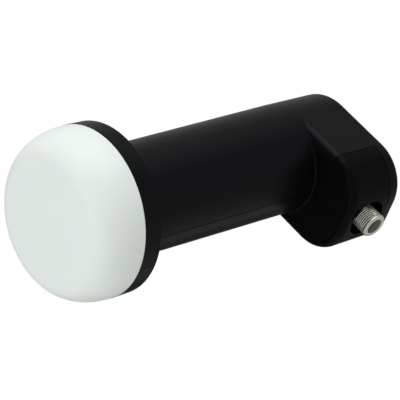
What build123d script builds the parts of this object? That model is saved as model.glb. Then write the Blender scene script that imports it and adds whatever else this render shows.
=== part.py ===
from build123d import *

import os
from math import cos, radians, sin, tan

# Satellite LNB with a 40 mm neck: a white radome cap, a black housing in two
# halves, a sliding weather cover over the cable port, and the feed casting
# with its circuit inside. The feed axis is Y, the cap looks along -Y and the
# cable port points down. The origin is the middle of the neck that a dish
# clamp holds.

# Neck and collar
neck_dia = 40.0
neck_length = 83.5
collar_lip = 0.1
collar_taper = 0.2
collar_depth = 7.6
collar_floor = 1.8
collar_edge = 0.3
collar_round = 0.6
shell_wall = 1.8
seam_gap = 0.3
root_round = 0.8

# Head behind the neck
head_depth = 25.6
head_draft = 0.9
corner_drop = 22.8
corner_radius = 15.8
rear_round = 2.2

# Radome cap
cap_dia = 61.2
cap_face_dia = 45.0
cap_depth = 16.9
cap_rim = 1.6
cap_crown = 0.6
crease_angle = 7.0
cap_wall = 1.6
skirt_wall = 1.5
skirt_gap = 0.1
skirt_end_gap = 0.6

# Sliding weather cover
cover_depth = 20.3
cover_wall = 2.2
cover_gap = 0.3
cover_travel = 16.0
cover_edge = 3.6
port_hole_dia = 15.0
leg_width = 8.0
leg_wall = 1.3
leg_grip = 3.0
leg_foot = 4.0

# Feed casting: horn, waveguide and circuit box
guide_dia = 17.5
guide_wall = 1.7
horn_lead = 2.0
horn_wall = 1.8
throat_dia = 30.0
throat_length = 24.0
ring_dias = (33.0, 42.0)
ring_wall = 1.2
seal_wire = 1.6
seal_gap = 0.02
seal_setback = 3.0
box_side_gap = 0.7
box_rear_gap = 0.6
box_corner = 8.2
box_wall = 1.6
box_floor = 3.0

# Circuit board, shield and screws
board_thickness = 0.8
board_gap = 0.2
gasket_thickness = 0.5
shield_plate = 2.0
backshort_depth = 6.0
backshort_wall = 1.1
boss_dia = 4.4
boss_top_angle = 48.0
boss_corner_angle = 45.0
screw_dia = 2.0
screw_length = 8.0
screw_gap = 0.03
screw_hole_gap = 0.15
screw_head_dia = 3.8
screw_head_height = 1.4
screw_slot = 0.6
probe_width = 1.4
probe_length = 6.0
probe_thickness = 0.1
probe_clearance = 0.5
cup_gap = 0.2
absorber_size = (14.0, 1.2, 7.0)
absorber_drop = 16.5

# Parts on the circuit board, as width, height and length
converter_size = (4.0, 0.9, 4.0)
crystal_size = (3.2, 0.8, 2.5)
amplifier_size = (2.0, 0.9, 1.3)
regulator_size = (4.5, 1.5, 2.5)
diode_size = (4.3, 2.3, 2.6)
capacitor_size = (0.8, 0.8, 1.6)
inductor_size = (1.0, 1.0, 2.0)
part_gap = 0.9
amplifier_pitch = 3.4
capacitor_pitch = 1.2
inductor_pitch = 2.0
power_pitch = 8.4

# Cable port: a threaded coaxial connector
port_setback = 11.9
thread_dia = 9.525
thread_length = 10.8
flats_across = 8.96
flats_turn = -55.0
port_chamfer = 0.6
port_flange_dia = 12.0
port_flange = 1.2
port_shank_dia = 8.0
port_bore_dia = 6.4
port_hole_gap = 0.4
insulator_recess = 2.8
insulator_hole_dia = 2.4
contact_recess = 1.2
contact_dia = 1.0
contact_bore = 6.0
contact_lead = 6.0

# Snap tongues on the left shell
tongue_width = 4.0
tongue_reach = 3.0
tongue_wall = 1.2
tongue_gap = 0.15
tongue_pitch = 30.0

# Places worked out from the sizes
neck_r = neck_dia / 2
neck_bore = neck_r - shell_wall
collar_rear_y = -neck_length / 2
collar_front_y = collar_rear_y - collar_depth
collar_floor_y = collar_rear_y - collar_floor
collar_front_r = cap_dia / 2 + collar_lip
collar_rear_r = collar_front_r - collar_taper
head_front_y = neck_length / 2
corner_z = -corner_drop
draft_rate = tan(radians(head_draft))
recess_inset = cover_wall + cover_gap
leg_y = head_front_y + cover_depth / 2
leg_top_z = corner_z + cover_travel + leg_grip
leg_outer_x = neck_r - draft_rate * cover_depth - shell_wall - cover_gap
leg_inner_x = leg_outer_x - leg_wall
skirt_r = cap_dia / 2 - skirt_wall
skirt_depth = collar_depth - collar_floor - skirt_end_gap
collar_bore = skirt_r + skirt_gap
horn_r = skirt_r - skirt_wall - skirt_gap
guide_r = guide_dia / 2
shield_stack = gasket_thickness + shield_plate + screw_head_height
box_r = leg_inner_x - cover_gap - box_side_gap
box_depth = head_depth - 2 * shell_wall - shield_stack - box_rear_gap
box_front_y = head_front_y + shell_wall
box_rear_y = box_front_y + box_depth
board_front_y = box_front_y + box_floor
board_rear_y = board_front_y + board_thickness
shield_front_y = box_rear_y + gasket_thickness
shield_rear_y = shield_front_y + shield_plate
box_bottom_z = corner_z - box_corner
pocket_bottom_z = box_bottom_z + box_wall
port_y = head_front_y + port_setback
port_top_z = box_bottom_z - port_flange
port_end_z = port_top_z - thread_length
contact_top_z = pocket_bottom_z + contact_lead
boss_r = boss_dia / 2
boss_inset = box_wall + boss_r / 4
boss_crown_r = box_r - boss_inset
boss_corner_r = box_corner - boss_inset
boss_corner_x = box_r - box_corner + boss_corner_r * cos(radians(boss_corner_angle))
boss_corner_z = corner_z - boss_corner_r * sin(radians(boss_corner_angle))
boss_crown_x = boss_crown_r * cos(radians(boss_top_angle))
boss_crown_z = boss_crown_r * sin(radians(boss_top_angle))
boss_side_x = box_r - boss_inset
boss_side_z = corner_z / 2
boss_places = [
    (side * x, z)
    for x, z in (
        (boss_crown_x, boss_crown_z),
        (boss_side_x, boss_side_z),
        (boss_corner_x, boss_corner_z),
    )
    for side in (-1, 1)
]


def back_plane(y):
    """Plane square to the feed axis at y, extruding rearward, with Z up."""
    return Plane(origin=(0, y, 0), x_dir=(-1, 0, 0), z_dir=(0, 1, 0))


def drop_outline(radius, corner, inset):
    """Round-topped outline with straight sides and two round lower corners, moved in by inset."""
    half = radius - inset
    corner_r = corner - inset
    corner_x = radius - corner
    with BuildSketch() as outline:
        with BuildLine():
            CenterArc((0, 0), half, 0, 180)
            Line((-half, 0), (-half, corner_z))
            CenterArc((-corner_x, corner_z), corner_r, 180, 90)
            Line((-corner_x, corner_z - corner_r), (corner_x, corner_z - corner_r))
            CenterArc((corner_x, corner_z), corner_r, 270, 90)
            Line((half, corner_z), (half, 0))
        make_face()
    return outline.sketch


def head_outline(inset=0.0):
    """Outline of the head at its front face, as wide as the neck, moved in by inset."""
    return drop_outline(neck_r, corner_radius, inset)


def box_outline(inset=0.0):
    """Outline of the casting's circuit box, moved in by inset."""
    return drop_outline(box_r, box_corner, inset)


def turned(points):
    """Face of a turned profile of (radius, y) points, for a revolve about the feed axis."""
    with BuildSketch() as profile:
        with BuildLine():
            Polyline(*points, close=True)
        make_face()
    return profile.sketch


# Room for the weather cover: the band that its wall takes up, and a gap.
with BuildPart() as cover_room:
    with BuildSketch(back_plane(head_front_y)):
        add(head_outline(-cover_gap))
    extrude(amount=cover_depth + cover_gap, taper=head_draft)
    with BuildSketch(back_plane(head_front_y)):
        add(head_outline(recess_inset))
    extrude(amount=cover_depth + cover_gap, taper=head_draft, mode=Mode.SUBTRACT)
    split(bisect_by=Plane.XY.offset(corner_z), keep=Keep.BOTTOM)

# Hollow of the head: wide above the cover, narrower behind it.
with BuildPart() as head_hollow_top:
    with BuildSketch(back_plane(box_front_y)):
        add(head_outline(shell_wall + draft_rate * shell_wall))
    extrude(amount=head_depth - 2 * shell_wall, taper=head_draft)
    split(bisect_by=Plane.XY.offset(corner_z + shell_wall), keep=Keep.TOP)

with BuildPart() as head_hollow:
    with BuildSketch(back_plane(box_front_y)):
        add(head_outline(recess_inset + shell_wall + draft_rate * shell_wall))
    extrude(amount=head_depth - 2 * shell_wall, taper=head_draft)
    add(head_hollow_top.part)

# Hollow round where the neck runs into the head's flat face.
with BuildPart() as root_flare:
    with BuildSketch(Plane.XY):
        with BuildLine():
            CenterArc((neck_r + root_round, head_front_y - root_round), root_round, 90, 90)
            Polyline(
                (neck_r, head_front_y - root_round),
                (neck_bore, head_front_y - root_round),
                (neck_bore, box_front_y),
                (neck_r + root_round, box_front_y),
                (neck_r + root_round, head_front_y),
            )
        make_face()
    revolve(axis=Axis.Y)
    with BuildSketch(back_plane(head_front_y - root_round)):
        add(head_outline(cover_edge / 2))
    extrude(amount=root_round + shell_wall, mode=Mode.INTERSECT)

# Way of the cover's two guide legs, inside the side walls and down behind the cover.
with BuildPart() as leg_room:
    with Locations((0, leg_y, (leg_top_z + cover_gap + corner_z) / 2)):
        Box(
            2 * (leg_outer_x + cover_gap),
            leg_width + 2 * cover_gap,
            leg_top_z + cover_gap - corner_z,
        )
    with Locations((0, leg_y, corner_z)):
        Box(
            neck_dia,
            leg_width + 2 * cover_gap,
            2 * corner_radius,
            align=(Align.CENTER, Align.CENTER, Align.MAX),
        )
    with Locations((0, leg_y, leg_top_z + 2 * cover_gap)):
        Box(
            2 * (leg_inner_x - cover_gap),
            leg_width + 4 * cover_gap,
            leg_top_z - corner_z + 3 * corner_radius,
            align=(Align.CENTER, Align.CENTER, Align.MAX),
            mode=Mode.SUBTRACT,
        )

# Black housing, made whole and then parted along the middle plane.
with BuildPart() as housing:
    with BuildSketch(back_plane(head_front_y)):
        add(head_outline())
    extrude(amount=head_depth, taper=head_draft)
    fillet(housing.faces().sort_by(Axis.Y)[0].edges(), cover_edge)
    with BuildSketch(back_plane(head_front_y)):
        Circle(neck_r)
    extrude(amount=head_depth, taper=head_draft)
    fillet(housing.faces().sort_by(Axis.Y)[-1].edges(), rear_round)
    add(head_hollow.part, mode=Mode.SUBTRACT)
    with BuildSketch(back_plane(head_front_y)):
        Circle(neck_bore)
    extrude(amount=shell_wall, mode=Mode.SUBTRACT)
    with BuildSketch(Plane.XY) as neck_section:
        add(
            turned(
                [
                    (neck_bore, collar_floor_y),
                    (collar_bore, collar_floor_y),
                    (collar_bore, collar_front_y),
                    (collar_front_r, collar_front_y),
                    (collar_rear_r, collar_rear_y),
                    (neck_r, collar_rear_y),
                    (neck_r, head_front_y),
                    (neck_bore, head_front_y),
                ]
            )
        )
        fillet(neck_section.vertices().sort_by_distance((collar_front_r, collar_front_y))[0], collar_edge)
        fillet(neck_section.vertices().sort_by_distance((collar_rear_r, collar_rear_y))[0], collar_round)
        fillet(neck_section.vertices().sort_by_distance((neck_r, collar_rear_y))[0], collar_round)
    revolve(axis=Axis.Y)
    add(root_flare.part)
    add(cover_room.part, mode=Mode.SUBTRACT)
    add(leg_room.part, mode=Mode.SUBTRACT)
    with BuildSketch(Plane.XY.offset(port_end_z)):
        with Locations((0, port_y)):
            Circle(port_flange_dia / 2 + port_hole_gap)
    extrude(amount=thread_length, mode=Mode.SUBTRACT)

# Snap tongues moulded on the left shell; they reach past the seam inside the right one.
with BuildPart() as tongues:
    for side in (-1, 1):
        for step in (-1, 0, 1):
            inner_z = side * (neck_bore - tongue_wall / 2 - 3 * tongue_gap)
            with Locations((0, step * tongue_pitch, inner_z)):
                Box(2 * tongue_reach, tongue_width, tongue_wall)
    with BuildSketch(Plane.XZ):
        Circle(neck_bore - tongue_gap)
    extrude(amount=2 * tongue_pitch, both=True, mode=Mode.INTERSECT)

with BuildPart() as tongue_roots:
    for side in (-1, 1):
        for step in (-1, 0, 1):
            with Locations((-tongue_reach / 2 - seam_gap, step * tongue_pitch, side * neck_bore)):
                Box(tongue_reach, tongue_width, 2 * shell_wall - 2 * tongue_gap)
    with BuildSketch(Plane.XZ):
        Circle(neck_bore + tongue_gap)
    extrude(amount=2 * tongue_pitch, both=True, mode=Mode.INTERSECT)

with BuildPart() as shell_left:
    add(housing.part)
    split(bisect_by=Plane.YZ.offset(-seam_gap / 2), keep=Keep.BOTTOM)
    add(tongues.part)
    add(tongue_roots.part)

with BuildPart() as shell_right:
    add(housing.part)
    split(bisect_by=Plane.YZ.offset(seam_gap / 2), keep=Keep.TOP)


# Weather cover: a round-bottomed band under the head, with its cable hole and two guide legs.
with BuildPart() as weather_cover:
    with BuildSketch(back_plane(head_front_y)):
        add(head_outline())
    extrude(amount=cover_depth, taper=head_draft)
    fillet(weather_cover.faces().sort_by(Axis.Y)[0].edges(), cover_edge)
    with BuildSketch(back_plane(head_front_y)):
        add(head_outline(cover_wall))
    extrude(amount=cover_depth, taper=head_draft, mode=Mode.SUBTRACT)
    split(bisect_by=Plane.XY.offset(corner_z - cover_gap), keep=Keep.BOTTOM)
    with BuildSketch(Plane.XY.offset(corner_z - corner_radius)):
        with Locations((0, port_y)):
            Circle(port_hole_dia / 2)
    extrude(amount=corner_radius / 2, mode=Mode.SUBTRACT)
    for side in (-1, 1):
        with Locations((side * (leg_inner_x + leg_wall / 2), leg_y, leg_top_z)):
            Box(
                leg_wall,
                leg_width,
                leg_top_z - corner_z + leg_foot,
                align=(Align.CENTER, Align.CENTER, Align.MAX),
            )
        with Locations((side * (leg_inner_x + leg_wall), leg_y, corner_z - cover_gap)):
            Box(
                2 * leg_wall,
                leg_width,
                leg_foot - cover_gap,
                align=(Align.CENTER, Align.CENTER, Align.MAX),
            )

# White radome cap: a straight rim, an oval shoulder, a slightly domed face inside a soft
# crease, and a skirt inside the collar.
crease_rate = sin(radians(crease_angle))
shoulder_x = (cap_face_dia - cap_dia * crease_rate) / (1 - crease_rate) / 2
shoulder_y = collar_front_y - cap_rim
shoulder_depth = (cap_depth - cap_rim) / cos(radians(crease_angle))


def cap_profile(inset):
    """Half section of the cap's outside, moved in by inset, closed along the feed axis."""
    rim_x = cap_dia / 2 - inset
    crown_y = collar_front_y - cap_depth - cap_crown + inset
    with BuildSketch() as profile:
        with BuildLine():
            shoulder = EllipticalCenterArc(
                (shoulder_x, shoulder_y),
                rim_x - shoulder_x,
                shoulder_depth - inset,
                start_angle=270 + crease_angle,
                arc_size=90 - crease_angle,
            )
            TangentArc((0, crown_y), shoulder @ 0, tangent=(1, 0))
            Polyline(
                (0, crown_y),
                (0, collar_front_y),
                (rim_x, collar_front_y),
                (rim_x, shoulder_y),
            )
        make_face()
    return profile.sketch


with BuildPart() as radome_cap:
    with BuildSketch(Plane.XY):
        add(cap_profile(0))
    revolve(axis=Axis.Y)
    with BuildSketch(Plane.XY):
        add(cap_profile(cap_wall))
    revolve(axis=Axis.Y, mode=Mode.SUBTRACT)
    with BuildSketch(Plane.XY):
        add(
            turned(
                [
                    (skirt_r - skirt_wall, collar_front_y - cap_wall),
                    (cap_dia / 2 - cap_wall / 2, collar_front_y - cap_wall),
                    (cap_dia / 2 - cap_wall / 2, collar_front_y),
                    (skirt_r, collar_front_y),
                    (skirt_r, collar_front_y + skirt_depth),
                    (skirt_r - skirt_wall, collar_front_y + skirt_depth),
                ]
            )
        )
    revolve(axis=Axis.Y)

# Seal ring in the horn's groove, against the inside of the cap's skirt.
groove_r = skirt_r - skirt_wall - seal_wire
seal_y = collar_front_y + seal_setback
with BuildPart() as cap_seal:
    with BuildSketch(Plane.XY):
        with Locations((groove_r + seal_wire / 2, seal_y)):
            Circle(seal_wire / 2 - seal_gap)
    revolve(axis=Axis.Y)

# Die-cast feed: ringed horn, round waveguide and the circuit box, in one casting.
horn_front_y = collar_front_y - horn_lead
horn_floor_y = collar_floor_y - horn_wall
guide_outer = guide_r + guide_wall
throat_r = throat_dia / 2

with BuildPart() as feed_casting:
    with BuildSketch(back_plane(box_front_y)):
        add(box_outline())
    extrude(amount=box_depth)
    with BuildSketch(back_plane(board_front_y)):
        add(box_outline(box_wall))
    extrude(amount=box_depth - box_floor, mode=Mode.SUBTRACT)
    with BuildSketch(back_plane(board_front_y)):
        with Locations(*[(-x, z) for x, z in boss_places]):
            Circle(boss_r)
    extrude(amount=box_depth - box_floor)
    with BuildSketch(Plane.XY):
        add(
            turned(
                [
                    (0, box_front_y),
                    (guide_outer, box_front_y),
                    (guide_outer, horn_floor_y + throat_length),
                    (throat_r, collar_floor_y),
                    (horn_r, collar_floor_y),
                    (horn_r, horn_front_y),
                    (horn_r - horn_wall, horn_front_y),
                    (horn_r - horn_wall, horn_floor_y),
                    (0, horn_floor_y),
                ]
            )
        )
    revolve(axis=Axis.Y)
    with BuildSketch(Plane.XY):
        for ring_dia in ring_dias:
            with Locations((ring_dia / 2, horn_front_y)):
                Rectangle(ring_wall, horn_floor_y - horn_front_y, align=(Align.CENTER, Align.MIN))
    revolve(axis=Axis.Y)
    with BuildSketch(Plane.XY):
        add(
            turned(
                [
                    (0, horn_floor_y),
                    (throat_r - guide_wall, horn_floor_y),
                    (guide_r, horn_floor_y + throat_length - guide_wall),
                    (guide_r, board_front_y),
                    (0, board_front_y),
                ]
            )
        )
    revolve(axis=Axis.Y, mode=Mode.SUBTRACT)
    with BuildSketch(Plane.XY):
        with Locations((groove_r, seal_y)):
            Rectangle(seal_wire + horn_wall, seal_wire, align=(Align.MIN, Align.CENTER))
    revolve(axis=Axis.Y, mode=Mode.SUBTRACT)
    with BuildSketch(Plane.XY.offset(box_bottom_z)):
        with Locations((0, port_y)):
            Circle(port_shank_dia / 2)
    extrude(amount=box_wall, mode=Mode.SUBTRACT)
    with BuildSketch(back_plane(box_rear_y)):
        with Locations(*[(-x, z) for x, z in boss_places]):
            Circle(screw_dia / 2 + screw_gap)
    extrude(amount=-screw_length, mode=Mode.SUBTRACT)

# Circuit board on the box floor, across the end of the waveguide.
with BuildPart() as circuit_board:
    with BuildSketch(back_plane(board_front_y)):
        add(box_outline(box_wall + board_gap))
        with Locations(*[(-x, z) for x, z in boss_places]):
            Circle(boss_r + board_gap, mode=Mode.SUBTRACT)
    extrude(amount=board_thickness)

# Two copper probes, one level and one upright, that reach into the waveguide.
probe_center = guide_r - probe_length / 2 + backshort_wall
with BuildPart() as probes:
    with BuildSketch(back_plane(board_rear_y)):
        with Locations((0, -probe_center)):
            Rectangle(probe_width, probe_length)
        with Locations((-probe_center, 0)):
            Rectangle(probe_length, probe_width)
    extrude(amount=probe_thickness)

# Rear shield: a cast plate with the waveguide's closed end cup standing on it, clear of the bosses.
cup_r = guide_r + backshort_wall
with BuildPart() as rear_shield:
    with BuildSketch(back_plane(shield_front_y)):
        add(box_outline())
    extrude(amount=shield_plate)
    with BuildSketch(back_plane(board_rear_y)):
        Circle(cup_r)
        with Locations(*[(-x, z) for x, z in boss_places]):
            Circle(boss_r + cup_gap, mode=Mode.SUBTRACT)
    extrude(amount=shield_front_y - board_rear_y)
    with BuildSketch(back_plane(board_rear_y)):
        Circle(guide_r)
    extrude(amount=backshort_depth, mode=Mode.SUBTRACT)
    with BuildSketch(back_plane(board_rear_y)):
        with Locations((0, -guide_r)):
            Rectangle(probe_width + 2 * probe_clearance, 4 * backshort_wall)
        with Locations((-guide_r, 0)):
            Rectangle(4 * backshort_wall, probe_width + 2 * probe_clearance)
    extrude(amount=probe_thickness + probe_clearance, mode=Mode.SUBTRACT)
    with BuildSketch(back_plane(shield_front_y)):
        with Locations(*[(-x, z) for x, z in boss_places]):
            Circle(screw_dia / 2 + screw_hole_gap)
    extrude(amount=shield_plate, mode=Mode.SUBTRACT)

# Gasket between the box rim and the rear shield.
with BuildPart() as shield_gasket:
    with BuildSketch(back_plane(box_rear_y)):
        add(box_outline())
        add(box_outline(box_wall), mode=Mode.SUBTRACT)
        with Locations(*[(-x, z) for x, z in boss_places]):
            Circle(boss_r)
        with Locations(*[(-x, z) for x, z in boss_places]):
            Circle(screw_dia / 2 + screw_hole_gap, mode=Mode.SUBTRACT)
    extrude(amount=gasket_thickness)

# Shield screws, with a cross recess in each head.
with BuildPart() as shield_screws:
    with BuildSketch(back_plane(shield_rear_y)):
        with Locations(*[(-x, z) for x, z in boss_places]):
            Circle(screw_head_dia / 2)
    extrude(amount=screw_head_height)
    with BuildSketch(back_plane(shield_rear_y)):
        with Locations(*[(-x, z) for x, z in boss_places]):
            Circle(screw_dia / 2)
    extrude(amount=-screw_length)
    with BuildSketch(back_plane(shield_rear_y + screw_head_height)):
        with Locations(*[(-x, z) for x, z in boss_places]):
            Rectangle(screw_head_dia / 2, screw_slot)
            Rectangle(screw_slot, screw_head_dia / 2)
    extrude(amount=-screw_head_height / 2, mode=Mode.SUBTRACT)

# Microwave absorber pad stuck to the inside of the rear shield.
with BuildPart() as absorber_pad:
    with Locations((0, shield_front_y, -absorber_drop)):
        Box(*absorber_size, align=(Align.CENTER, Align.MAX, Align.CENTER))

# Cable port body: flange against the box, shank in its wall, threaded barrel with two milled flats.
with BuildPart() as port_body:
    with BuildSketch(Plane.XY.offset(port_end_z)):
        with Locations((0, port_y)):
            Circle(thread_dia / 2)
    extrude(amount=thread_length)
    chamfer(port_body.faces().sort_by(Axis.Z)[0].edges(), port_chamfer)
    with BuildSketch(Plane.XY.offset(port_end_z)):
        with Locations(Location((0, port_y), flats_turn)):
            Rectangle(2 * thread_dia, flats_across)
    extrude(amount=thread_length, mode=Mode.INTERSECT)
    with BuildSketch(Plane.XY.offset(port_top_z)):
        with Locations((0, port_y)):
            Circle(port_flange_dia / 2)
    extrude(amount=port_flange)
    with BuildSketch(Plane.XY.offset(box_bottom_z)):
        with Locations((0, port_y)):
            Circle(port_shank_dia / 2)
    extrude(amount=box_wall)
    with BuildSketch(Plane.XY.offset(port_end_z)):
        with Locations((0, port_y)):
            Circle(port_bore_dia / 2)
    extrude(amount=pocket_bottom_z - port_end_z, mode=Mode.SUBTRACT)

# White insulator inside the barrel, with the hole that the cable's core enters.
with BuildPart() as port_insulator:
    with BuildSketch(Plane.XY.offset(port_end_z + insulator_recess)):
        with Locations((0, port_y)):
            Circle(port_bore_dia / 2)
            Circle(insulator_hole_dia / 2, mode=Mode.SUBTRACT)
    extrude(amount=pocket_bottom_z - port_end_z - insulator_recess)

# Spring contact: a tube that grips the cable's core, and a lead bent to the board.
contact_end_z = port_end_z + insulator_recess + contact_recess
with BuildPart() as port_contact:
    with BuildSketch(Plane.XY.offset(contact_end_z)):
        with Locations((0, port_y)):
            Circle(insulator_hole_dia / 2)
    extrude(amount=pocket_bottom_z - contact_end_z)
    with BuildSketch(Plane.XY.offset(contact_end_z)):
        with Locations((0, port_y)):
            Circle(contact_dia / 2)
    extrude(amount=contact_bore, mode=Mode.SUBTRACT)
    with BuildSketch(Plane.XY.offset(pocket_bottom_z)):
        with Locations((0, port_y)):
            Circle(contact_dia / 2)
    extrude(amount=contact_lead)
    with BuildSketch(back_plane(board_rear_y)):
        with Locations((0, contact_top_z)):
            Circle(contact_dia / 2)
    extrude(amount=port_y - board_rear_y)
    with Locations((0, port_y, contact_top_z)):
        Sphere(contact_dia / 2)


def board_parts(size, places):
    """Chips of one size (width, height, length) standing on the board at (x, z) places."""
    width, height, length = size
    with BuildPart() as chips:
        with BuildSketch(back_plane(board_rear_y)):
            with Locations(*[(-x, z) for x, z in places]):
                Rectangle(width, length)
        extrude(amount=height)
    return chips


def next_row(above_z, above_size, size):
    """Middle height of a row of parts below the row of above_size at above_z."""
    return above_z - above_size[2] / 2 - part_gap - size[2] / 2


# Parts on the board, in four rows below the waveguide's end cup.
amplifier_z = -cup_r - part_gap - amplifier_size[2] / 2
converter_z = next_row(amplifier_z, amplifier_size, converter_size)
capacitor_z = next_row(converter_z, converter_size, capacitor_size)
power_z = next_row(capacitor_z, capacitor_size, diode_size)
crystal_x = converter_size[0] / 2 + part_gap + crystal_size[0] / 2
inductor_x = -converter_size[0] / 2 - part_gap - inductor_size[0] / 2

amplifiers = board_parts(amplifier_size, [(k * amplifier_pitch, amplifier_z) for k in (-1, 0, 1)])
converter_chip = board_parts(converter_size, [(0, converter_z)])
crystal = board_parts(crystal_size, [(crystal_x, converter_z)])
inductors = board_parts(inductor_size, [(inductor_x - k * inductor_pitch, converter_z) for k in (0, 1)])
capacitors = board_parts(capacitor_size, [((k - 1.5) * capacitor_pitch, capacitor_z) for k in range(4)])
regulator = board_parts(regulator_size, [(-power_pitch / 2, power_z)])
surge_diode = board_parts(diode_size, [(power_pitch / 2, power_z)])

pieces = {
    "radome_cap": radome_cap,
    "cap_seal": cap_seal,
    "shell_left": shell_left,
    "shell_right": shell_right,
    "weather_cover": weather_cover,
    "feed_casting": feed_casting,
    "circuit_board": circuit_board,
    "probes": probes,
    "rear_shield": rear_shield,
    "shield_gasket": shield_gasket,
    "shield_screws": shield_screws,
    "absorber_pad": absorber_pad,
    "port_body": port_body,
    "port_insulator": port_insulator,
    "port_contact": port_contact,
    "converter_chip": converter_chip,
    "crystal": crystal,
    "amplifiers": amplifiers,
    "regulator": regulator,
    "surge_diode": surge_diode,
    "capacitors": capacitors,
    "inductors": inductors,
}

os.makedirs("parts", exist_ok=True)
for node, piece in pieces.items():
    piece.part.label = node
    export_step(piece.part, f"parts/{node}.step")
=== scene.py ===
import logging
import math
from dataclasses import dataclass
from enum import Enum

import bmesh
import bpy
from mathutils import Matrix, Vector


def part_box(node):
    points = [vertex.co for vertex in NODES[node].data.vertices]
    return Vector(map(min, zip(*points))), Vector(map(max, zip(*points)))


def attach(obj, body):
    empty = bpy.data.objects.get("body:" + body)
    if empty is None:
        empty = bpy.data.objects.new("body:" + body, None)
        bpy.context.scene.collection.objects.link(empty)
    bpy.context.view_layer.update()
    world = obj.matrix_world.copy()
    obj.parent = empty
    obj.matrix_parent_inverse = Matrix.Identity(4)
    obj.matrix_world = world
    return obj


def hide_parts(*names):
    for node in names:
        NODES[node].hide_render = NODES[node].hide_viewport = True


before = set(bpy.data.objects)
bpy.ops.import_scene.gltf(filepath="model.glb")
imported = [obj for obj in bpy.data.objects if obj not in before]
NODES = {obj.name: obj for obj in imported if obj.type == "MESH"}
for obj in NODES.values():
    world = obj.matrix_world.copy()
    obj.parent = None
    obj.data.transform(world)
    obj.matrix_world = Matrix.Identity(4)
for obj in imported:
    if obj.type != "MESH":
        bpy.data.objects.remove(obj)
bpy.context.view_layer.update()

MM = 0.001
WHITE = "#FFFFFF"
log = logging.getLogger("lnb")


class Body(str, Enum):
    """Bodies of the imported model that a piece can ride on."""

    HOUSING = "body"
    COVER = "cover"


def linear(colour: str) -> tuple[float, float, float, float]:
    """Turns an sRGB hex colour into a linear RGBA colour.

    Args:
        colour: Six hex digits with a leading hash.

    Returns:
        Linear red, green, blue and an alpha of one.
    """
    channels = [int(colour[k : k + 2], 16) / 255 for k in (1, 3, 5)]
    values = [c / 12.92 if c <= 0.04045 else ((c + 0.055) / 1.055) ** 2.4 for c in channels]
    return (*values, 1.0)


def per_metre(size_mm: float) -> float:
    """Gives the texture scale whose features are size_mm across on Object coordinates in metres."""
    return 1 / (size_mm * MM)


def add_node(tree: bpy.types.NodeTree, kind: str, inputs: dict, **settings) -> bpy.types.Node:
    """Adds a node, with its settings, input values and links.

    Args:
        tree: Tree that takes the node.
        kind: Blender's name of the node type.
        inputs: Socket name or number to a value, or to an output socket to link.
        settings: Attributes of the node.

    Returns:
        The new node.
    """
    node = tree.nodes.new(kind)
    for name, value in settings.items():
        setattr(node, name, value)
    for name, value in inputs.items():
        socket = node.inputs[name]
        if isinstance(value, bpy.types.NodeSocket):
            tree.links.new(value, socket)
        else:
            socket.default_value = value
    return node


def new_material(name: str) -> tuple[bpy.types.Material, bpy.types.NodeTree, bpy.types.Node]:
    """Makes a material with a Principled shader.

    Args:
        name: Name of the real material.

    Returns:
        The material, its node tree and its shader node.
    """
    material = bpy.data.materials.new(name)
    material.use_nodes = True
    tree = material.node_tree
    return material, tree, tree.nodes["Principled BSDF"]


@dataclass(frozen=True)
class MouldedPlastic:
    """Injection-moulded plastic: even colour, a fine spark-eroded mould grain and faint flow clouds.

    The real grain is near 0.1 mm and is drawn coarser, so that it shows.
    """

    name: str
    colour: str
    cloud: str
    roughness: float
    specular: float = 0.5
    grain_mm: float = 0.35
    grain_depth_mm: float = 0.004
    cloud_mm: float = 14.0
    subsurface: float = 0.0
    gloss_tint: str = WHITE
    cloud_detail: float = 3.0
    grain_detail: float = 2.0
    sheen_spread: float = 0.04
    subsurface_mm: float = 2.0

    def make(self) -> bpy.types.Material:
        """Builds the material.

        Returns:
            The finished material.
        """
        material, tree, shader = new_material(self.name)
        place = add_node(tree, "ShaderNodeTexCoord", {}).outputs["Object"]
        clouds = add_node(
            tree,
            "ShaderNodeTexNoise",
            {"Vector": place, "Scale": per_metre(self.cloud_mm), "Detail": self.cloud_detail},
        )
        tint = add_node(
            tree,
            "ShaderNodeMix",
            {"Factor": clouds.outputs["Fac"], "A": linear(self.colour), "B": linear(self.cloud)},
            data_type="RGBA",
        )
        grain = add_node(
            tree,
            "ShaderNodeTexNoise",
            {"Vector": place, "Scale": per_metre(self.grain_mm), "Detail": self.grain_detail},
        )
        sheen = add_node(
            tree,
            "ShaderNodeMapRange",
            {
                "Value": clouds.outputs["Fac"],
                "To Min": self.roughness - self.sheen_spread,
                "To Max": self.roughness + self.sheen_spread,
            },
        )
        relief = add_node(
            tree,
            "ShaderNodeBump",
            {"Height": grain.outputs["Fac"], "Strength": 1.0, "Distance": self.grain_depth_mm * MM},
        )
        tree.links.new(tint.outputs["Result"], shader.inputs["Base Color"])
        tree.links.new(sheen.outputs["Result"], shader.inputs["Roughness"])
        tree.links.new(relief.outputs["Normal"], shader.inputs["Normal"])
        shader.inputs["Specular IOR Level"].default_value = self.specular
        shader.inputs["Specular Tint"].default_value = linear(self.gloss_tint)
        shader.inputs["Subsurface Weight"].default_value = self.subsurface
        shader.inputs["Subsurface Scale"].default_value = self.subsurface_mm * MM
        return material


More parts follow.
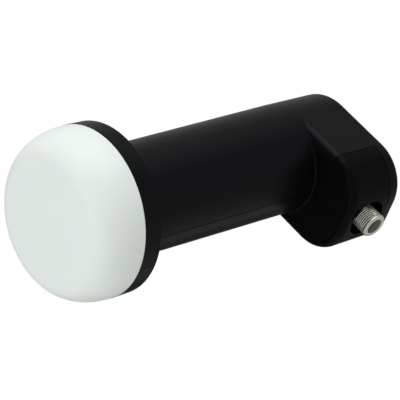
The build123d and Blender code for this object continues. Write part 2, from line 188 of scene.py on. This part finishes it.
@dataclass(frozen=True)
class Metal:
    """Bare, cast or plated metal: grain or turning marks change its roughness and relief."""

    name: str
    colour: str
    dull: str
    roughness: float
    grain_mm: float
    grain_depth_mm: float
    stretch: tuple[float, float, float] = (1.0, 1.0, 1.0)
    metallic: float = 1.0
    grain_detail: float = 4.0
    sheen_spread: float = 0.25

    def make(self) -> bpy.types.Material:
        """Builds the material.

        Returns:
            The finished material.
        """
        material, tree, shader = new_material(self.name)
        place = add_node(tree, "ShaderNodeTexCoord", {}).outputs["Object"]
        turned = add_node(tree, "ShaderNodeMapping", {"Vector": place, "Scale": self.stretch})
        grain = add_node(
            tree,
            "ShaderNodeTexNoise",
            {
                "Vector": turned.outputs["Vector"],
                "Scale": per_metre(self.grain_mm),
                "Detail": self.grain_detail,
            },
        )
        tint = add_node(
            tree,
            "ShaderNodeMix",
            {"Factor": grain.outputs["Fac"], "A": linear(self.colour), "B": linear(self.dull)},
            data_type="RGBA",
        )
        sheen = add_node(
            tree,
            "ShaderNodeMapRange",
            {
                "Value": grain.outputs["Fac"],
                "To Min": self.roughness * (1 - self.sheen_spread),
                "To Max": self.roughness * (1 + self.sheen_spread),
            },
        )
        relief = add_node(
            tree,
            "ShaderNodeBump",
            {"Height": grain.outputs["Fac"], "Strength": 1.0, "Distance": self.grain_depth_mm * MM},
        )
        tree.links.new(tint.outputs["Result"], shader.inputs["Base Color"])
        tree.links.new(sheen.outputs["Result"], shader.inputs["Roughness"])
        tree.links.new(relief.outputs["Normal"], shader.inputs["Normal"])
        shader.inputs["Metallic"].default_value = self.metallic
        return material


@dataclass(frozen=True)
class SolderMask:
    """Green lacquer over a glass-fibre board: the copper runs under it show as paler bands."""

    name: str
    colour: str
    track: str
    track_mm: float = 1.6
    tracks_apart: float = 3.0
    track_edge: float = 0.10
    track_clear: float = 0.13
    relief: float = 0.4
    relief_mm: float = 0.03
    roughness: float = 0.28

    def make(self) -> bpy.types.Material:
        """Builds the material.

        Returns:
            The finished material.
        """
        material, tree, shader = new_material(self.name)
        place = add_node(tree, "ShaderNodeTexCoord", {}).outputs["Object"]
        runs = add_node(
            tree,
            "ShaderNodeTexVoronoi",
            {"Vector": place, "Scale": per_metre(self.tracks_apart * self.track_mm)},
            distance="CHEBYCHEV",
            feature="DISTANCE_TO_EDGE",
        )
        band = add_node(
            tree,
            "ShaderNodeMapRange",
            {
                "Value": runs.outputs["Distance"],
                "From Min": self.track_edge,
                "From Max": self.track_clear,
            },
        )
        tint = add_node(
            tree,
            "ShaderNodeMix",
            {"Factor": band.outputs["Result"], "A": linear(self.track), "B": linear(self.colour)},
            data_type="RGBA",
        )
        relief = add_node(
            tree,
            "ShaderNodeBump",
            {
                "Height": band.outputs["Result"],
                "Strength": self.relief,
                "Distance": self.relief_mm * MM,
            },
            invert=True,
        )
        tree.links.new(tint.outputs["Result"], shader.inputs["Base Color"])
        tree.links.new(relief.outputs["Normal"], shader.inputs["Normal"])
        shader.inputs["Roughness"].default_value = self.roughness
        return material


# Polypropylene, moulded white with a faint cool tint; soft satin, a little light goes in.
RADOME = MouldedPlastic("white_polypropylene", "#E6ECE8", "#E2E9E5", 0.42, 0.4, subsurface=0.06)
# ABS moulded black in a spark-eroded tool: a deep black with a soft, wide highlight.
HOUSING = MouldedPlastic("black_abs", "#08080A", "#0A0A0C", 0.34, 0.085, gloss_tint="#ECF4FF")
# The same ABS as the shells, a shade darker and less glossy: painted shade for the cover, which curves
# under the head away from the light.
COVER = MouldedPlastic("black_abs_cover_shaded", "#070708", "#09090A", 0.34, 0.045, gloss_tint="#ECF4FF")
# Polyethylene insulator, moulded grey: dull and dark, deep in the port's mouth.
INSULATOR = MouldedPlastic("grey_polyethylene", "#61625D", "#585954", 0.5, 0.3)
# Epoxy of chip packages: near black and dull.
EPOXY = MouldedPlastic("chip_epoxy", "#1A1A1C", "#202022", 0.5, 0.4, grain_mm=0.15)
# Ceramic body of chip capacitors: tan, fired, with a slight sheen.
CERAMIC = MouldedPlastic("capacitor_ceramic", "#A58A62", "#957B55", 0.5, 0.5, grain_mm=0.12)
# Ferrite body of chip inductors: dark grey, pressed and sintered.
FERRITE = MouldedPlastic("ferrite", "#4A4B4E", "#3E3F42", 0.45, 0.5, grain_mm=0.12)
# Nitrile rubber of the cap's seal ring: matt black.
NITRILE = MouldedPlastic("nitrile_rubber", "#121213", "#161617", 0.6, 0.3)
# Silicone gasket filled with carbon: matt dark grey.
GASKET = MouldedPlastic("filled_silicone", "#3A3B3D", "#323335", 0.65, 0.3)
# Carbon-loaded foam pad that soaks up stray microwaves: black, coarse and fully matt.
ABSORBER = MouldedPlastic("carbon_foam", "#1E1F22", "#2A2B2E", 0.85, 0.2, grain_mm=0.6, grain_depth_mm=0.1)
# Die-cast aluminium, as it leaves the tool: pale grey with a fine dull skin.
CASTING = Metal("diecast_aluminium", "#C4C6C8", "#A9ACAE", 0.42, 0.5, 0.01)
# The same alloy in the shield's tool, a little brighter.
SHIELD = Metal("diecast_aluminium_shield", "#CACCCE", "#B2B5B7", 0.38, 0.5, 0.01)
# Matt nickel on turned brass: warm grey that scatters some of its light, with fine marks round the barrel.
NICKEL = Metal(
    "nickel_plated_brass", "#D6D8CE", "#C0C2B8", 0.42, 0.25, 0.002, stretch=(0.05, 0.05, 1.0), metallic=0.8
)
# Plated brass of the port's contact: warm yellow, smooth.
BRASS = Metal("plated_brass_contact", "#D8B878", "#C4A262", 0.25, 0.25, 0.002)
# Tinned copper of the probes: pale and reddish.
COPPER = Metal("tinned_copper", "#D0A080", "#BE8C6C", 0.3, 0.3, 0.002)
# Zinc-plated steel of the screws: pale grey with a soft shine.
ZINC = Metal("zinc_plated_steel", "#C8C8C4", "#B4B4AE", 0.3, 0.3, 0.003)
# Nickel-plated can of the crystal: pale and smooth.
CAN = Metal("nickel_can", "#C6C6C4", "#B6B6B4", 0.28, 0.4, 0.002)
# Green lacquer of the circuit board, glossy over its copper.
BOARD = SolderMask("green_solder_mask", "#1C5A34", "#2E7A4A")
# Matt pale paint of the studio floor.
FLOOR = MouldedPlastic("pale_floor", "#DCDCDA", "#D9D9D7", 0.8, 0.1, cloud_mm=800.0)


def dress(node: str, material: bpy.types.Material) -> None:
    """Gives a CAD node its material and reports it.

    Args:
        node: Name of the node.
        material: Finish to show on it.
    """
    slots = NODES[node].data.materials
    slots.clear()
    slots.append(material)
    log.info("dressed %s in %s", node, material.name)


def place_mesh(name: str, mesh: bpy.types.Mesh, body: Body) -> bpy.types.Object:
    """Links a finished mesh as a piece that rides on a body.

    Args:
        name: Name of the piece.
        mesh: Mesh already in place in the row frame.
        body: Body that carries it.

    Returns:
        The new object.
    """
    piece = bpy.data.objects.new(name, mesh)
    bpy.context.scene.collection.objects.link(piece)
    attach(piece, body.value)
    log.info("made %s with %d faces", name, len(mesh.polygons))
    return piece


@dataclass
class RadomeCap:
    """White cap over the horn and its seal ring."""

    middle_mm: float = 4.6

    def shade_middle(self, material: bpy.types.Material) -> None:
        """Shades the middle of the cap's face by its facets, as the mesh has a stray normal on the axis.

        Args:
            material: Finish of the cap.
        """
        tree = material.node_tree
        place = add_node(tree, "ShaderNodeTexCoord", {}).outputs["Object"]
        across = (1.0, 0.0, 1.0)
        flat = add_node(tree, "ShaderNodeVectorMath", {0: place, 1: across}, operation="MULTIPLY")
        reach = add_node(tree, "ShaderNodeVectorMath", {0: flat.outputs["Vector"]}, operation="LENGTH")
        edge = {0: reach.outputs["Value"], 1: self.middle_mm * MM}
        near = add_node(tree, "ShaderNodeMath", edge, operation="LESS_THAN")
        facing = add_node(tree, "ShaderNodeNewGeometry", {}).outputs
        chosen = add_node(
            tree,
            "ShaderNodeMix",
            {"Factor": near.outputs["Value"], "A": facing["Normal"], "B": facing["True Normal"]},
            data_type="VECTOR",
        )
        tree.links.new(chosen.outputs["Result"], tree.nodes["Bump"].inputs["Normal"])

    def dress(self) -> None:
        """Gives the cap and its seal their finishes."""
        white = RADOME.make()
        self.shade_middle(white)
        dress("radome_cap", white)
        dress("cap_seal", NITRILE.make())


@dataclass
class Housing:
    """Two black half shells with a lap lip behind their seam, and the sliding cover under the head."""

    lip_depth_mm: float = 0.5
    lip_wall_mm: float = 0.9
    lip_half_width_mm: float = 0.3
    neck_radius_mm: float = 20.0
    collar_front_y_mm: float = -49.35
    collar_rear_y_mm: float = -41.75
    collar_radius_mm: float = 30.6
    head_front_y_mm: float = 41.75
    head_rear_y_mm: float = 67.35
    head_rear_top_mm: float = 19.6
    rear_corner_mm: float = 1.25
    rear_end_z_mm: float = -36.4
    recess_bottom_mm: float = -36.1
    front_end_y_mm: float = 47.0

    def lip_lines(self) -> tuple[list[Vector], list[Vector]]:
        """Gives the lip's outer lines in the seam's plane, as (y, z) points in mm.

        Returns:
            The line over the top and down the rear, and the line under the neck and down the head's front.
        """
        deep = self.lip_depth_mm
        start = self.collar_front_y_mm + deep
        step = self.collar_rear_y_mm - deep
        rim = self.collar_radius_mm - deep
        neck = self.neck_radius_mm - deep
        rear = self.head_rear_y_mm - deep
        top = self.head_rear_top_mm - deep
        front = self.head_front_y_mm + deep
        low = self.recess_bottom_mm + deep
        corner = self.rear_corner_mm
        over = [(start, rim), (step, rim), (step, neck), (self.head_front_y_mm, neck)]
        over += [(rear - corner, top), (rear, top - corner), (rear, self.rear_end_z_mm)]
        under = [(start, -rim), (step, -rim), (step, -neck), (front, -neck), (front, low)]
        under += [(self.front_end_y_mm, low)]
        return [Vector(p) for p in over], [Vector(p) for p in under]

    def lip(self) -> bpy.types.Mesh:
        """Makes the lip: two bars that follow the shells' walls and fill the seam below its outer edge.

        Returns:
            The lip's mesh, in metres.
        """
        mesh = bmesh.new()
        for line, inward in zip(self.lip_lines(), (-1.0, 1.0)):
            ways = [(b - a).normalized() for a, b in zip(line, line[1:])]
            sections = []
            for number, point in enumerate(line):
                before = ways[max(number - 1, 0)]
                onward = ways[min(number, len(ways) - 1)]
                square = Vector((-(before + onward).y, (before + onward).x)).normalized() * inward
                along = Vector((-onward.y, onward.x)) * inward
                inner = point + square * (self.lip_wall_mm / square.dot(along))
                half = self.lip_half_width_mm
                corners = [(-half, point), (half, point), (half, inner), (-half, inner)]
                sections.append([mesh.verts.new((x * MM, p.x * MM, p.y * MM)) for x, p in corners])
            for near, far in zip(sections, sections[1:]):
                for k in range(len(near)):
                    after = (k + 1) % len(near)
                    mesh.faces.new((near[k], near[after], far[after], far[k]))
            mesh.faces.new(sections[0])
            mesh.faces.new(reversed(sections[-1]))
        bmesh.ops.recalc_face_normals(mesh, faces=mesh.faces)
        result = bpy.data.meshes.new("seam_lip")
        mesh.to_mesh(result)
        mesh.free()
        return result

    def build(self) -> None:
        """Makes the lip and gives the shells and the cover their finishes."""
        black = HOUSING.make()
        for shell in ("shell_left", "shell_right"):
            dress(shell, black)
        lip = self.lip()
        lip.materials.append(black)
        place_mesh("seam_lip", lip, Body.HOUSING)
        # The cover takes the darker copy of the ABS, as painted shade.
        dress("weather_cover", COVER.make())


@dataclass
class FeedUnit:
    """Casting, board, shield and what is on the board."""

    def dress(self) -> None:
        """Gives the inner pieces their finishes."""
        dress("feed_casting", CASTING.make())
        dress("rear_shield", SHIELD.make())
        dress("shield_gasket", GASKET.make())
        dress("shield_screws", ZINC.make())
        dress("absorber_pad", ABSORBER.make())
        dress("circuit_board", BOARD.make())
        dress("probes", COPPER.make())
        epoxy = EPOXY.make()
        for chip in ("converter_chip", "amplifiers", "regulator", "surge_diode"):
            dress(chip, epoxy)
        dress("crystal", CAN.make())
        dress("capacitors", CERAMIC.make())
        dress("inductors", FERRITE.make())


@dataclass
class CablePort:
    """Threaded coaxial port: barrel with two plain sides, its thread, insulator and contact."""

    thread_dia_mm: float = 9.525
    pitch_mm: float = 0.794
    depth_mm: float = 0.5
    ridge_mm: float = 0.25
    plain_dia_mm: float = 9.3
    plain_half_deg: float = 46.0
    plain_turn_deg: float = 35.0
    bore_mm: float = 6.4
    flange_mm: float = 1.2
    flange_dia_mm: float = 12.0
    shank_mm: float = 1.6
    shank_step_mm: float = 0.4
    mouth_ring_mm: float = 0.8
    groove_mm: float = 0.5
    chamfer_mm: float = 0.4
    edge_mm: float = 0.12
    # Painted shade in the thread's roots: the depths below the crest where it is full and where it ends,
    # and its grey.
    root_shade_mm: float = 0.45
    root_lit_mm: float = 0.25
    root_shade_colour: str = "#3C3C36"
    thread_sink_mm: float = 0.05
    plain_blend: float = 0.12
    crease_deg: float = 30.0
    turn_steps: int = 72
    ridge_sides: int = 4
    segments: int = 144

    def barrel(self, centre: Vector, top: float, bottom: float) -> bpy.types.Mesh:
        """Makes the barrel: a closed ring of rows, with two plain sides between its threaded ones.

        Args:
            centre: Point on the barrel's axis.
            top: Height of the shank's upper end.
            bottom: Height of the mouth.

        Returns:
            The barrel's mesh, in metres.
        """
        major = self.thread_dia_mm / 2
        core = major - self.depth_mm
        plain = self.plain_dia_mm / 2
        bore = self.bore_mm / 2
        flange = self.flange_dia_mm / 2
        height = (top - bottom) / MM
        shank = height - self.shank_mm
        rows = [
            (bore, height),
            (bore, self.edge_mm),
            (bore + self.edge_mm, 0.0),
            (major - self.chamfer_mm, 0.0),
            (major, self.chamfer_mm),
            (major, self.mouth_ring_mm),
            (core - self.edge_mm, self.mouth_ring_mm + self.edge_mm),
            (core - self.edge_mm, self.mouth_ring_mm + self.groove_mm - self.edge_mm),
            (core, self.mouth_ring_mm + self.groove_mm),
            (core, shank - self.flange_mm),
            (flange - self.edge_mm, shank - self.flange_mm),
            (flange, shank - self.flange_mm + self.edge_mm),
            (flange, shank),
            (core - self.shank_step_mm, shank),
            (core - self.shank_step_mm, height),
        ]
        # The two rows at the ends of the threaded stretch.
        plain_rows = (8, 9)
        plain_edge = math.cos(math.radians(self.plain_half_deg))
        mesh = bmesh.new()
        rings = []
        for number, (radius, z) in enumerate(rows):
            ring = []
            for k in range(self.segments):
                angle = 2 * math.pi * k / self.segments
                on_plain = number in plain_rows and abs(math.cos(angle)) > plain_edge
                held = plain if on_plain else radius
                turn = angle + math.radians(self.plain_turn_deg)
                x = centre.x + held * math.cos(turn) * MM
                y = centre.y + held * math.sin(turn) * MM
                ring.append(mesh.verts.new((x, y, bottom + z * MM)))
            rings.append(ring)
        for number, ring in enumerate(rings):
            following = rings[(number + 1) % len(rings)]
            for k in range(self.segments):
                after = (k + 1) % self.segments
                mesh.faces.new((ring[k], ring[after], following[after], following[k]))
        bmesh.ops.recalc_face_normals(mesh, faces=mesh.faces)
        for edge in mesh.edges:
            edge.smooth = edge.calc_face_angle(0.0) < math.radians(self.crease_deg)
        for face in mesh.faces:
            face.smooth = True
        result = bpy.data.meshes.new("port_barrel")
        mesh.to_mesh(result)
        mesh.free()
        return result

    def thread_tree(self) -> bpy.types.NodeTree:
        """Builds the tree that winds the thread's ridge round the barrel and sinks it at the plain sides.

        Returns:
            The geometry node group.
        """
        tree = bpy.data.node_groups.new("thread_ridge", "GeometryNodeTree")
        face = tree.interface
        face.new_socket("Geometry", in_out="OUTPUT", socket_type="NodeSocketGeometry")
        lengths = ("Radius", "Height", "Ridge", "Crest", "Plain radius")
        for name in (*lengths, "Turns", "Plain edge", "Plain blend", "Plain turn"):
            face.new_socket(name, in_out="INPUT", socket_type="NodeSocketFloat")
        face.new_socket("Centre", in_out="INPUT", socket_type="NodeSocketVector")
        face.new_socket("Finish", in_out="INPUT", socket_type="NodeSocketMaterial")
        given = add_node(tree, "NodeGroupInput", {}).outputs
        spiral = add_node(
            tree,
            "GeometryNodeCurveSpiral",
            {
                "Resolution": self.turn_steps,
                "Rotations": given["Turns"],
                "Start Radius": given["Radius"],
                "End Radius": given["Radius"],
                "Height": given["Height"],
            },
        )
        path = spiral.outputs["Curve"]
        upright = add_node(tree, "GeometryNodeSetCurveNormal", {"Curve": path}, mode="Z_UP")
        section = add_node(
            tree,
            "GeometryNodeCurvePrimitiveCircle",
            {"Resolution": self.ridge_sides, "Radius": given["Ridge"]},
        )
        ridge = add_node(
            tree,
            "GeometryNodeCurveToMesh",
            {
                "Curve": upright.outputs["Curve"],
                "Profile Curve": section.outputs["Curve"],
                "Fill Caps": True,
            },
        )
        where = add_node(tree, "GeometryNodeInputPosition", {}).outputs["Position"]
        parts = add_node(tree, "ShaderNodeSeparateXYZ", {"Vector": where}).outputs
        level = add_node(tree, "ShaderNodeCombineXYZ", {"X": parts["X"], "Y": parts["Y"]}).outputs["Vector"]
        reach = add_node(tree, "ShaderNodeVectorMath", {0: level}, operation="LENGTH").outputs["Value"]
        side = add_node(tree, "ShaderNodeMath", {0: parts["X"], 1: reach}, operation="DIVIDE")
        facing = add_node(tree, "ShaderNodeMath", {0: side.outputs["Value"]}, operation="ABSOLUTE")
        blend = {0: given["Plain edge"], 1: given["Plain blend"]}
        full = add_node(tree, "ShaderNodeMath", blend, operation="SUBTRACT")
        limit = add_node(
            tree,
            "ShaderNodeMapRange",
            {
                "Value": facing.outputs["Value"],
                "From Min": full.outputs["Value"],
                "From Max": given["Plain edge"],
                "To Min": given["Crest"],
                "To Max": given["Plain radius"],
            },
        ).outputs["Result"]
        share = add_node(tree, "ShaderNodeMath", {0: limit, 1: reach}, operation="DIVIDE").outputs["Value"]
        shrink = add_node(tree, "ShaderNodeMath", {0: share, 1: 1.0}, operation="MINIMUM").outputs["Value"]
        drawn = add_node(tree, "ShaderNodeVectorMath", {0: level, "Scale": shrink}, operation="SCALE")
        lifted = add_node(tree, "ShaderNodeCombineXYZ", {"Z": parts["Z"]})
        halves = {0: drawn.outputs["Vector"], 1: lifted.outputs["Vector"]}
        sunk = add_node(tree, "ShaderNodeVectorMath", halves, operation="ADD")
        trimmed = add_node(
            tree,
            "GeometryNodeSetPosition",
            {"Geometry": ridge.outputs["Mesh"], "Position": sunk.outputs["Vector"]},
        )
        turn = add_node(tree, "ShaderNodeCombineXYZ", {"Z": given["Plain turn"]})
        placed = add_node(
            tree,
            "GeometryNodeTransform",
            {
                "Geometry": trimmed.outputs["Geometry"],
                "Translation": given["Centre"],
                "Rotation": turn.outputs["Vector"],
            },
        )
        crisp = add_node(
            tree,
            "GeometryNodeSetShadeSmooth",
            {"Geometry": placed.outputs["Geometry"], "Shade Smooth": False},
        )
        solid = add_node(tree, "GeometryNodeRealizeInstances", {"Geometry": crisp.outputs["Geometry"]})
        finish = add_node(
            tree,
            "GeometryNodeSetMaterial",
            {"Geometry": solid.outputs["Geometry"], "Material": given["Finish"]},
        )
        add_node(tree, "NodeGroupOutput", {"Geometry": finish.outputs["Geometry"]})
        return tree

    def thread(self, centre: Vector, material: bpy.types.Material, height: float) -> bpy.types.Mesh:
        """Winds the thread from the tree and takes it as a plain mesh.

        Args:
            centre: Lower end of the thread on the barrel's axis.
            material: Finish of the thread.
            height: Length of the threaded stretch, in metres.

        Returns:
            The thread's mesh.
        """
        ridge = self.ridge_mm * MM
        return baked(
            "port_thread",
            self.thread_tree(),
            {
                "Radius": (self.thread_dia_mm / 2) * MM - ridge,
                "Height": height,
                "Turns": height / (self.pitch_mm * MM),
                "Ridge": ridge,
                "Crest": self.thread_dia_mm / 2 * MM,
                "Plain radius": (self.plain_dia_mm / 2 - self.thread_sink_mm) * MM,
                "Plain edge": math.cos(math.radians(self.plain_half_deg)),
                "Plain blend": self.plain_blend,
                "Plain turn": math.radians(self.plain_turn_deg),
                "Centre": tuple(centre),
                "Finish": material,
            },
        )

    def shade_roots(self, material: bpy.types.Material, centre: Vector, mouth: float) -> None:
        """Darkens the metal in the thread's roots with painted shade, for the shadow that falls between the
        ridges.

        Args:
            material: Finish of the barrel and the thread.
            centre: Point on the barrel's axis.
            mouth: Height of the mouth ring's upper edge, below which the metal stays bright.
        """
        tree = material.node_tree
        colour = tree.nodes["Principled BSDF"].inputs["Base Color"]
        bright = colour.links[0].from_socket
        place = add_node(tree, "ShaderNodeTexCoord", {}).outputs["Object"]
        parts = add_node(tree, "ShaderNodeSeparateXYZ", {"Vector": place}).outputs
        level = add_node(tree, "ShaderNodeCombineXYZ", {"X": parts["X"], "Y": parts["Y"]}).outputs["Vector"]
        axis = (centre.x, centre.y, 0.0)
        reach = add_node(tree, "ShaderNodeVectorMath", {0: level, 1: axis}, operation="DISTANCE")
        crest = self.thread_dia_mm / 2
        deep = add_node(
            tree,
            "ShaderNodeMapRange",
            {
                "Value": reach.outputs["Value"],
                "From Min": (crest - self.root_shade_mm) * MM,
                "From Max": (crest - self.root_lit_mm) * MM,
                "To Min": 1.0,
                "To Max": 0.0,
            },
        )
        behind = add_node(tree, "ShaderNodeMath", {0: parts["Z"], 1: mouth}, operation="GREATER_THAN")
        amount = deep.outputs["Result"]
        wall = (self.bore_mm / 2 + crest) / 2 * MM
        beyond = {0: reach.outputs["Value"], 1: wall}
        outside = add_node(tree, "ShaderNodeMath", beyond, operation="GREATER_THAN")
        for limit in (behind, outside):
            factors = {0: amount, 1: limit.outputs["Value"]}
            amount = add_node(tree, "ShaderNodeMath", factors, operation="MULTIPLY").outputs["Value"]
        # Painted shade: the metal in the roots mixes towards a dark grey.
        tints = {"Factor": amount, "A": bright, "B": linear(self.root_shade_colour)}
        shaded = add_node(tree, "ShaderNodeMix", tints, data_type="RGBA")
        tree.links.new(shaded.outputs["Result"], colour)

    def build(self) -> None:
        """Makes the barrel with its thread and dresses the insulator and contact."""
        nickel = NICKEL.make()
        low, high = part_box("port_body")
        centre = (low + high) / 2
        self.shade_roots(nickel, centre, low.z + self.mouth_ring_mm * MM)
        barrel = self.barrel(centre, high.z, low.z)
        barrel.materials.append(nickel)
        piece = place_mesh("port_barrel", barrel, Body.HOUSING)
        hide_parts("port_body")
        start = Vector((centre.x, centre.y, low.z + (self.mouth_ring_mm + self.groove_mm) * MM))
        ends = self.shank_mm + self.flange_mm + self.mouth_ring_mm + 2 * self.groove_mm
        length = (high.z - low.z) - ends * MM
        place_mesh("port_thread", self.thread(start, nickel, length), Body.HOUSING)
        dress("port_insulator", INSULATOR.make())
        dress("port_contact", BRASS.make())


def baked(name: str, tree: bpy.types.NodeTree, values: dict) -> bpy.types.Mesh:
    """Runs a geometry node tree on an empty mesh and takes the result as a plain mesh.

    Args:
        name: Name of the new mesh.
        tree: Geometry node group.
        values: Input name to value.

    Returns:
        The evaluated mesh.
    """
    carrier = bpy.data.objects.new(name + "_carrier", bpy.data.meshes.new(name + "_seed"))
    bpy.context.scene.collection.objects.link(carrier)
    modifier = carrier.modifiers.new(name, "NODES")
    modifier.node_group = tree
    sockets = {item.name: item.identifier for item in tree.interface.items_tree if item.in_out == "INPUT"}
    for key, value in values.items():
        modifier[sockets[key]] = value
    carrier.update_tag()
    graph = bpy.context.evaluated_depsgraph_get()
    mesh = bpy.data.meshes.new_from_object(carrier.evaluated_get(graph))
    mesh.name = name
    carrier.modifiers.clear()
    bpy.data.objects.remove(carrier)
    return mesh


@dataclass(frozen=True)
class Lamp:
    """Soft square lamp, placed by how far it stands right, up and back of the object in the picture."""

    name: str
    right: float
    up: float
    back: float
    size_mm: float
    watts: float
    far_mm: float
    mirrored: bool

    def place(self, right: Vector, up: Vector, back: Vector) -> None:
        """Adds the lamp, looking at the object.

        Args:
            right: The camera's right.
            up: The camera's up.
            back: Direction from the object to the camera.
        """
        toward = right * self.right + up * self.up + back * self.back
        data = bpy.data.lights.new(self.name, "AREA")
        data.energy = self.watts
        data.size = self.size_mm * MM
        lamp = bpy.data.objects.new(self.name, data)
        lamp.location = toward.normalized() * self.far_mm * MM
        lamp.rotation_mode = "QUATERNION"
        lamp.rotation_quaternion = toward.to_track_quat("Z", "Y")
        lamp.visible_glossy = self.mirrored
        bpy.context.scene.collection.objects.link(lamp)


# The key lamp above the picture shows in glossy pieces; the fills from the left and from below don't.
LAMPS = (
    Lamp("key", right=0.2, up=1.0, back=0.4, size_mm=800.0, watts=4.7, far_mm=900.0, mirrored=True),
    Lamp("fill", right=-0.75, up=-0.2, back=0.6, size_mm=900.0, watts=4.2, far_mm=1200.0, mirrored=False),
    Lamp("under", right=-0.1, up=-0.8, back=0.4, size_mm=700.0, watts=2.1, far_mm=1000.0, mirrored=False),
)


@dataclass
class Studio:
    """Camera at the photograph's view, soft lamps, pale floor and a white surround."""

    azimuth_deg: float = 42.54
    elevation_deg: float = -28.86
    roll_deg: float = -43.77
    aim_mm: tuple[float, float, float] = (-0.69, -2.89, -8.17)
    distance_mm: float = 880.0
    lens_mm: float = 224.96
    sensor_mm: float = 36.0
    clip_near_mm: float = 50.0
    clip_far_mm: float = 20000.0
    floor_half_mm: float = 6000.0
    floor_drop_mm: float = 1600.0
    floor_white: float = 0.75
    floor_mirrored: float = 0.2
    soft_light: float = 0.66
    room_edge: float = 0.0
    backdrop_edge: float = 0.85
    backdrop_tilt_deg: float = 30.0
    room_level: float = 0.05
    backdrop_level: float = 0.5

    def axes(self) -> tuple[Vector, Vector, Vector]:
        """Works out the camera's right, up and back directions.

        Returns:
            Three unit vectors in the row frame.
        """
        angles = (self.azimuth_deg, self.elevation_deg, self.roll_deg)
        turn, tilt, roll = (math.radians(degrees) for degrees in angles)
        flat = math.cos(tilt)
        back = Vector((math.sin(turn) * flat, -math.cos(turn) * flat, math.sin(tilt)))
        level = Vector((math.cos(turn), math.sin(turn), 0.0))
        upright = back.cross(level)
        right = level * math.cos(roll) + upright * math.sin(roll)
        return right, back.cross(right), back

    def camera(self) -> None:
        """Makes the scene's camera."""
        right, up, back = self.axes()
        data = bpy.data.cameras.new("view")
        data.lens = self.lens_mm
        data.sensor_width = self.sensor_mm
        data.clip_start = self.clip_near_mm * MM
        data.clip_end = self.clip_far_mm * MM
        camera = bpy.data.objects.new("view", data)
        spot = Vector(self.aim_mm) * MM + back * self.distance_mm * MM
        camera.matrix_world = Matrix.Translation(spot) @ Matrix((right, up, back)).transposed().to_4x4()
        bpy.context.scene.collection.objects.link(camera)
        bpy.context.scene.camera = camera

    def surround(self) -> None:
        """Makes a white backdrop behind the object, which glossy pieces mirror, and a dim room."""
        world = bpy.data.worlds.new("white_surround")
        bpy.context.scene.world = world
        world.use_nodes = True
        tree = world.node_tree
        tree.nodes.clear()
        path = add_node(tree, "ShaderNodeLightPath", {}).outputs
        shiny = add_node(
            tree,
            "ShaderNodeMath",
            {0: path["Is Glossy Ray"], 1: path["Is Transmission Ray"]},
            operation="MAXIMUM",
        )
        way = add_node(tree, "ShaderNodeTexCoord", {}).outputs["Generated"]
        _, up, back = self.axes()
        tilt = math.radians(self.backdrop_tilt_deg)
        above = tuple(up * math.cos(tilt) - back * math.sin(tilt))
        height = add_node(tree, "ShaderNodeVectorMath", {0: way, 1: above}, operation="DOT_PRODUCT")
        room = add_node(
            tree,
            "ShaderNodeMapRange",
            {
                "Value": height.outputs["Value"],
                "From Min": self.room_edge,
                "From Max": self.backdrop_edge,
                "To Min": self.room_level,
                "To Max": self.backdrop_level,
            },
            interpolation_type="SMOOTHSTEP",
        )
        levels = {"light": self.soft_light, "mirror": room.outputs["Result"], "seen": 1.0}
        shown = {}
        for name, strength in levels.items():
            tone = {"Color": linear(WHITE), "Strength": strength}
            shown[name] = add_node(tree, "ShaderNodeBackground", tone).outputs[0]
        lit = {0: shiny.outputs["Value"], 1: shown["light"], 2: shown["mirror"]}
        first = add_node(tree, "ShaderNodeMixShader", lit)
        viewed = {0: path["Is Camera Ray"], 1: first.outputs[0], 2: shown["seen"]}
        second = add_node(tree, "ShaderNodeMixShader", viewed)
        add_node(tree, "ShaderNodeOutputWorld", {"Surface": second.outputs[0]})

    def floor_finish(self) -> bpy.types.Material:
        """Makes the floor's finish: pale paint, near white to the camera and paler to what mirrors it.

        Returns:
            The finished material.
        """
        material = FLOOR.make()
        tree = material.node_tree
        path = add_node(tree, "ShaderNodeLightPath", {}).outputs
        rays = {
            "Is Camera Ray": self.floor_white,
            "Is Glossy Ray": self.floor_mirrored,
            "Is Transmission Ray": self.floor_mirrored,
        }
        share = 0.0
        for ray, white in rays.items():
            level = add_node(tree, "ShaderNodeMath", {0: path[ray], 1: white}, operation="MULTIPLY")
            levels = {0: level.outputs["Value"], 1: share}
            share = add_node(tree, "ShaderNodeMath", levels, operation="MAXIMUM").outputs["Value"]
        glow = add_node(tree, "ShaderNodeEmission", {"Color": linear(WHITE), "Strength": 1.0})
        paint = tree.nodes["Principled BSDF"]
        both = add_node(tree, "ShaderNodeMixShader", {0: share, 1: paint.outputs[0], 2: glow.outputs[0]})
        tree.links.new(both.outputs[0], tree.nodes["Material Output"].inputs["Surface"])
        return material

    def floor(self) -> None:
        """Lays a pale floor well below the object, which a dish arm holds in the air."""
        mesh = bpy.data.meshes.new("floor")
        half = self.floor_half_mm * MM
        drop = -self.floor_drop_mm * MM
        corners = [(-half, -half, drop), (half, -half, drop), (half, half, drop), (-half, half, drop)]
        mesh.from_pydata(corners, [], [(0, 1, 2, 3)])
        mesh.materials.append(self.floor_finish())
        floor = bpy.data.objects.new("floor", mesh)
        bpy.context.scene.collection.objects.link(floor)

    def build(self) -> None:
        """Sets up the whole studio."""
        self.camera()
        for lamp in LAMPS:
            lamp.place(*self.axes())
        self.surround()
        self.floor()
        bpy.context.scene.view_settings.view_transform = "Standard"


def main() -> None:
    """Builds the object's pieces in order, then the studio around them."""
    logging.basicConfig(level=logging.INFO, format="%(message)s")
    RadomeCap().dress()
    Housing().build()
    FeedUnit().dress()
    CablePort().build()
    Studio().build()


if __name__ == "__main__":
    main()
